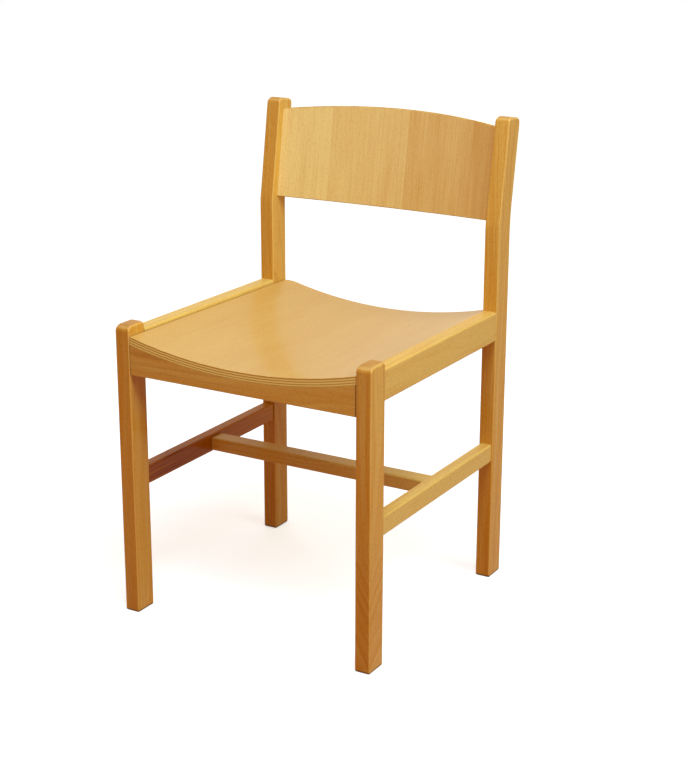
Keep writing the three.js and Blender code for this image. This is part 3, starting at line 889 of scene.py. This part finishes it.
# Rails and stretchers: bars with their long arrises eased and their ends sawn square
bars = {
    "railEase": 3.5 * mm,
    "stretcherEase": 3 * mm,
    "endRailEase": 1.5 * mm,
    "sideRailHeight": 48 * mm,
    "steps": 6,
    "boards": {
        "side_rail_left": (300, 20, 60, 0.08, 0),
        "side_rail_right": (905, -40, -95, 0.3, 0),
        # deep, and deeper to the front, in part painted shade
        "side_stretcher_left": (1300, 12, -22, 1.5, -2.2),
        "side_stretcher_right": (1700, 45, 30, 0.15, 0),
        "front_rail": (2100, 55, 18, 0.6, 0),
        "rear_rail": (2500, -50, 30, 0.5, 0),
        "cross_stretcher": (2900, -30, 24, 0.25, 0),
    },
    "raysOnTop": ("side_stretcher_left",),    # the other side bars show them on their sides
    # How far the late wood is calmed, from 0 to 1
    "calm": {"side_rail_left": 0.6, "side_rail_right": 0.8, "side_stretcher_right": 0.5},
    # How far the dirt and painted shade of the joints reach from the bars' ends, in mm
    "jointReach": {
        "front_rail": 1.1,
        "rear_rail": 0.9,
        "side_stretcher_left": 1.2,
        "cross_stretcher": 0.9,
    },
}


def barRings(length, thickness, height, ease):
    section = roundedOutline([(-thickness / 2, -height / 2, ease), (thickness / 2, -height / 2, ease),
                              (thickness / 2, height / 2, ease), (-thickness / 2, height / 2, ease)],
                             bars["steps"])
    return [[Vector((x, p.x, p.y)) for p in section] for x in (-length / 2, length / 2)]


def setBar(node, mesh, placement, grain, across, length):
    bar = setPiece(node, mesh, placement, grain, across, bars["boards"][node])
    half = length / 2 / mm
    bar["runOut"] = [0.0, 0.0, bars["calm"].get(node, 0.0)]
    bar["darkEnds"] = [half, half, bars["jointReach"].get(node, 0.0)]


# The side rails fall a little to the rear, so a rail's box is higher than the rail itself
def makeSideBars():
    for side in ("left", "right"):
        for kind, ease in (("side_rail", bars["railEase"]), ("side_stretcher", bars["stretcherEase"])):
            node = kind + "_" + side
            low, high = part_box(node)
            size = high - low
            height = bars["sideRailHeight"] if kind == "side_rail" else size.z
            mesh = loft(node, barRings(size.y, size.x, height, ease), [beechMaterial])
            shear = Matrix.Identity(4)
            shear[2][0] = (height - size.z) / size.y
            placement = Matrix.Translation((low + high) / 2) @ Matrix.Rotation(math.pi / 2, 4, "Z") @ shear
            across = wide if node in bars["raysOnTop"] else up
            setBar(node, mesh, placement, deep, across, size.y)


def makeCrossStretcher():
    low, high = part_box("cross_stretcher")
    size = high - low
    rings = barRings(size.x, size.y, size.z, bars["stretcherEase"])
    mesh = loft("cross_stretcher", rings, [beechMaterial])
    setBar("cross_stretcher", mesh, Matrix.Translation((low + high) / 2), wide, deep, size.x)


# The end rails' tops follow the underside of the seat
def makeEndRails():
    ease = bars["endRailEase"]
    for node in ("front_rail", "rear_rail"):
        low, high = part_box(node)
        rings = []
        for x in stationsAcross(high.x, seat["divisions"]):
            tops = [seatHeight(x, y - chairFront, seat["thickness"]) - seat["gap"] for y in (low.y, high.y)]
            section = roundedOutline([(low.y, low.z, ease), (high.y, low.z, ease),
                                      (high.y, tops[1], seat["gap"]), (low.y, tops[0], seat["gap"])],
                                     bars["steps"])
            rings.append([Vector((x, p.x, p.y)) for p in section])
        mesh = loft(node, rings, [beechMaterial])
        setBar(node, mesh, Matrix(), wide, deep, high.x - low.x)


makeSideBars()
makeCrossStretcher()
makeEndRails()
print("rails and stretchers made")

# Screws: a countersunk head with a cross recess, and a rolled thread that winds up into the seat
screw = {
    "headRadius": 3.9 * mm,
    "headHeight": 3 * mm,
    "rim": 0.3 * mm,
    "rootRadius": 1.4 * mm,
    "crestRadius": 1.95 * mm,
    "tipRadius": 0.1 * mm,
    "pitch": 1.8 * mm,
    "ridgeWidth": 0.5,            # of the pitch
    "plainNeck": 2 * mm,
    "length": 29.8 * mm,
    "point": 3 * mm,
    "recessDepth": 1.9 * mm,
    "recessReach": 2.3 * mm,
    "recessWidth": 0.9 * mm,
    "recessTaper": 0.45,          # its size at the bottom
    "sides": 32,
    "stations": 110,
}


def screwRadius(height, angle):
    taper = 1 - (height - screw["rim"]) / (screw["headHeight"] - screw["rim"])
    if taper > 0:
        return screw["rootRadius"] + (screw["headRadius"] - screw["rootRadius"]) * min(1, taper)
    turn = (height / screw["pitch"] - angle / (2 * math.pi)) % 1
    ridge = max(0, 1 - abs(turn - 0.5) * 2 / screw["ridgeWidth"])
    if height < screw["headHeight"] + screw["plainNeck"]:
        ridge = 0
    radius = screw["rootRadius"] + (screw["crestRadius"] - screw["rootRadius"]) * ridge
    return max(screw["tipRadius"], radius * min(1, (screw["length"] - height) / screw["point"]))


def screwRing(height):
    ring = []
    for k in range(screw["sides"]):
        angle = 2 * math.pi * k / screw["sides"]
        radius = screwRadius(height, angle)
        ring.append(Vector((radius * math.cos(angle), radius * math.sin(angle), height)))
    return ring


def crossRing(height, scale):
    reach = screw["recessReach"] * scale
    half = screw["recessWidth"] / 2 * scale
    quarter = [(reach, -half), (reach, half), (half, half)]
    points = []
    for turn in range(4):
        points += [Vector((x, y, height)) for x, y in quarter]
        quarter = [(-y, x) for x, y in quarter]
    return points


def makeScrews():
    step = screw["length"] / screw["stations"]
    heights = [0] + [screw["rim"] + (screw["length"] - screw["rim"]) * k / screw["stations"]
                     for k in range(screw["stations"] + 1)]
    for node in [name for name in nodes if name.startswith("seat_screw")]:
        low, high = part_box(node)
        mesh = loft(node, [screwRing(height) for height in heights], [screwMaterial])
        recess = [crossRing(-step, 1), crossRing(screw["recessDepth"], screw["recessTaper"])]
        mesh = cutAway(mesh, loft("cross", recess, [screwMaterial]))
        place = ((low.x + high.x) / 2, (low.y + high.y) / 2, low.z)
        setPiece(node, mesh, Matrix.Translation(place), up, deep)


makeScrews()
print("screws made")

# Corner blocks and dowels keep their CAD solids. By the start of their names: the finish, the place
# in the trunk in mm, the tone and the strength of the painted highlight on the arrises, and how far
# the grain is turned from X in degrees.
keptSolids = {
    "corner_block_front_left": (beechMaterial, (23, 30, 400), 0.5, usualArrisHighlight, -45),
    "corner_block_front_right": (beechMaterial, (24, 30, 400), 0.5, usualArrisHighlight, 45),
    "corner_block_rear_left": (beechMaterial, (22, 30, 400), 0.5, usualArrisHighlight, 45),
    "corner_block_rear_right": (beechMaterial, (23, 30, 400), 0.5, usualArrisHighlight, -45),
    ("front_rail_dowel", "rear_rail_dowel", "cross_stretcher_dowel"):
        (dowelMaterial, (0, 40, 300), 0.4, 0, 0),
    ("side_rail_dowel", "side_stretcher_dowel"): (dowelMaterial, (0, 40, 300), 0.4, 0, -90),
}
for name, node in nodes.items():
    for start, (finish, heart, tone, wear, turn) in keptSolids.items():
        if name.startswith(start):
            node["heart"] = [float(value) for value in heart]
            node["tone"] = [float(tone), 0.0, float(wear)]
            node["grainTurn"] = math.radians(turn)
            node.data.materials.clear()
            node.data.materials.append(finish)
print("corner blocks and dowels finished")

# Studio: a soft sun and a soft box from the right, one overhead, a fill from behind, a warm pale
# room and a pale floor
studio = {
    # Suns: strength, colour, apparent width in degrees, and where they shine from
    "suns": {
        "softSun": (0.68, "#F8FFE4", 38, (0.7, -0.1, 0.7)),
        "rearFill": (1.1, "#FFFFFF", 60, (-0.55, 0.8, 0.12)),
    },
    "unmirrored": ("rearFill",),         # lights the wood but doesn't show in its gloss
    # Boxes: watts, colour, side and place in metres; all turned to the same point
    "boxes": {
        "overhead": (14.5, "#FFFFFF", 0.8, (0.55, -0.75, 2.0)),
        "beside": (3.8, "#F8FFD2", 1.0, (1.6, -0.3, 1.3)),
    },
    "boxAim": (0, 0, 0.5),
    "roomStrength": 0.38,
    "roomColour": "#FFC28B",
    "floorBounce": "#AD6C32",            # what the floor gives back to the chair, as a wooden one
    "floorSeen": (0.95, 1.25, 1.65, 1),  # to the camera and in reflections: evens out the room's tint
    "floorGlow": 0.55,                   # keeps that floor's shadow light
    "floorHalf": 8,
}


def addLamp(name, light, place, away):
    lamp = bpy.data.objects.new(name, light)
    lamp.matrix_world = Matrix.Translation(place) @ away.to_track_quat("Z", "Y").to_matrix().to_4x4()
    bpy.context.scene.collection.objects.link(lamp)
    return lamp


def addLights(look):
    for name, (strength, colour, width, source) in look["suns"].items():
        sun = bpy.data.lights.new(name, "SUN")
        sun.energy = strength
        sun.color = linear(colour)[:3]
        sun.angle = math.radians(width)
        lamp = addLamp(name, sun, (0, 0, 0), Vector(source))
        lamp.visible_glossy = name not in look["unmirrored"]
    for name, (power, colour, side, place) in look["boxes"].items():
        box = bpy.data.lights.new(name, "AREA")
        box.size = side
        box.energy = power
        box.color = linear(colour)[:3]
        addLamp(name, box, place, Vector(place) - Vector(look["boxAim"]))


# The room and the floor look white to the camera and in reflections, whatever light they give
def showsWhite(tree):
    ray = addNode(tree, "LightPath")
    seen = addNode(tree, "Math", {"operation": "ADD"},
                   {0: ray.outputs["Is Camera Ray"], 1: ray.outputs["Is Glossy Ray"]})
    return addNode(tree, "Math", {"operation": "ADD", "use_clamp": True},
                   {0: seen, 1: ray.outputs["Is Transmission Ray"]})


def addRoom(look):
    room = bpy.data.worlds.new("paleRoom")
    room.use_nodes = True
    tree = room.node_tree
    tree.nodes.clear()
    lit = addNode(tree, "Background", None,
                  {"Color": linear(look["roomColour"]), "Strength": look["roomStrength"]})
    white = addNode(tree, "Background", None, {"Color": (1, 1, 1, 1), "Strength": 1})
    mixed = addNode(tree, "MixShader", None, {0: showsWhite(tree), 1: lit, 2: white})
    addNode(tree, "OutputWorld", None, {"Surface": mixed})
    bpy.context.scene.world = room


def addFloor(look):
    paint, tree = newMaterial("paleMattFloor")
    bounce = addNode(tree, "BsdfDiffuse", None, {"Color": linear(look["floorBounce"])})
    matt = addNode(tree, "BsdfDiffuse", None, {"Color": look["floorSeen"]})
    glow = addNode(tree, "Emission", None, {"Strength": look["floorGlow"]})
    seen = addNode(tree, "AddShader", None, {0: matt, 1: glow})
    mixed = addNode(tree, "MixShader", None, {0: showsWhite(tree), 1: bounce, 2: seen})
    addNode(tree, "OutputMaterial", None, {"Surface": mixed})
    half = look["floorHalf"]
    corners = [(-half, -half, 0), (half, -half, 0), (half, half, 0), (-half, half, 0)]
    mesh = bpy.data.meshes.new("floor")
    mesh.from_pydata(corners, [], [(0, 1, 2, 3)])
    mesh.materials.append(paint)
    floor = bpy.data.objects.new("floor", mesh)
    bpy.context.scene.collection.objects.link(floor)


addLights(studio)
addRoom(studio)
addFloor(studio)
bpy.context.scene.view_settings.view_transform = "Standard"
print("studio made")
